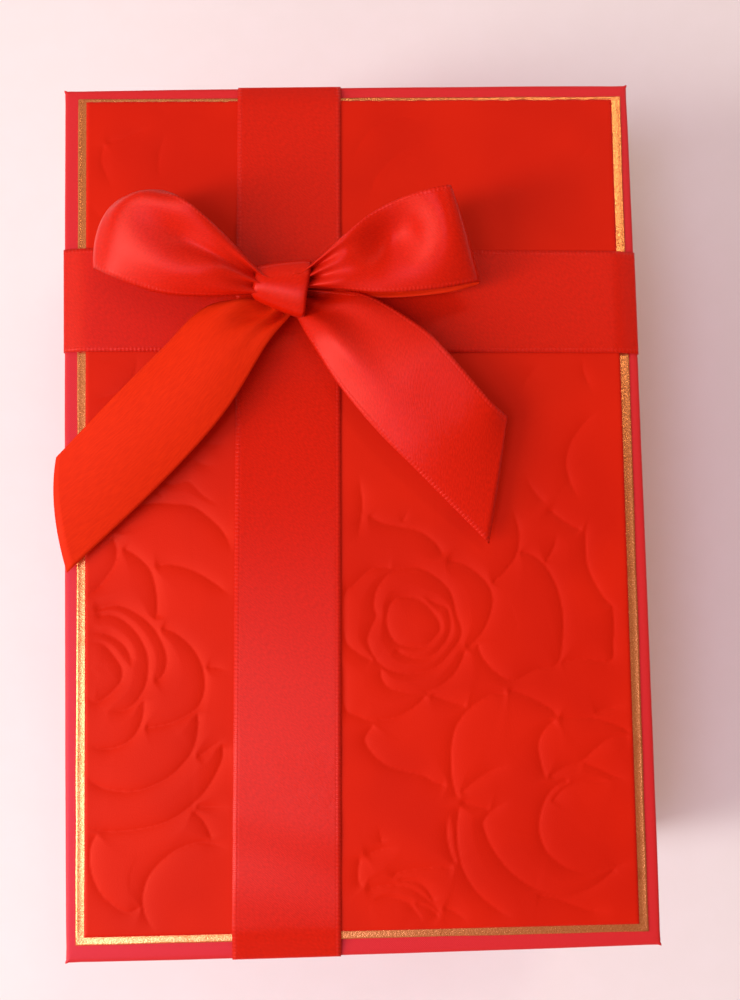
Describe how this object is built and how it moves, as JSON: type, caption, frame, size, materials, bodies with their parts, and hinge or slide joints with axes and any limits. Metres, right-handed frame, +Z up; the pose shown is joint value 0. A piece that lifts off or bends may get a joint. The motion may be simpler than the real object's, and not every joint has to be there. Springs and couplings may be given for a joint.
{
  "type": "gift box",
  "caption": "Rigid gift box with a lift-off lid, an embossed rose card in a gold border, two satin ribbon bands and a satin bow.",
  "frame": {"origin": "centre of the base's underside, where the box rests on a table", "axes": "+X across the box, +Y along it towards the end where the bow sits, +Z up, the way the lid lifts"},
  "size_m": [0.1408, 0.2108, 0.1093],
  "materials": {
    "greyboard": "matte",
    "stay_tape": "matte",
    "wrap_paper": "satin",
    "lining_paper": "matte",
    "gold_foil": "metallic",
    "rose_card": "satin",
    "satin": "satin",
    "foam_pad": "matte"
  },
  "bodies": {
    "base": {"base_board": "greyboard", "base_corner_stays": "stay_tape", "base_wrap": "wrap_paper", "base_bottom_sheet": "wrap_paper", "base_side_lining": "lining_paper", "base_floor_card": "lining_paper"},
    "lid": {"lid_board": "greyboard", "lid_corner_stays": "stay_tape", "lid_wrap": "wrap_paper", "lid_lining": "lining_paper", "gold_card": "gold_foil", "rose_card": "rose_card", "crosswise_ribbon": "satin", "lengthwise_ribbon": "satin", "bow_pad": "foam_pad", "bow_knot": "satin", "bow_left_loop": "satin", "bow_right_loop": "satin", "bow_left_tail": "satin", "bow_right_tail": "satin"}
  },
  "joints": [
    {"name": "lid_lift", "type": "slide", "parent": "base", "child": "lid", "axis": [0, 0, 1], "range_m": [0, 0.13]}
  ]
}
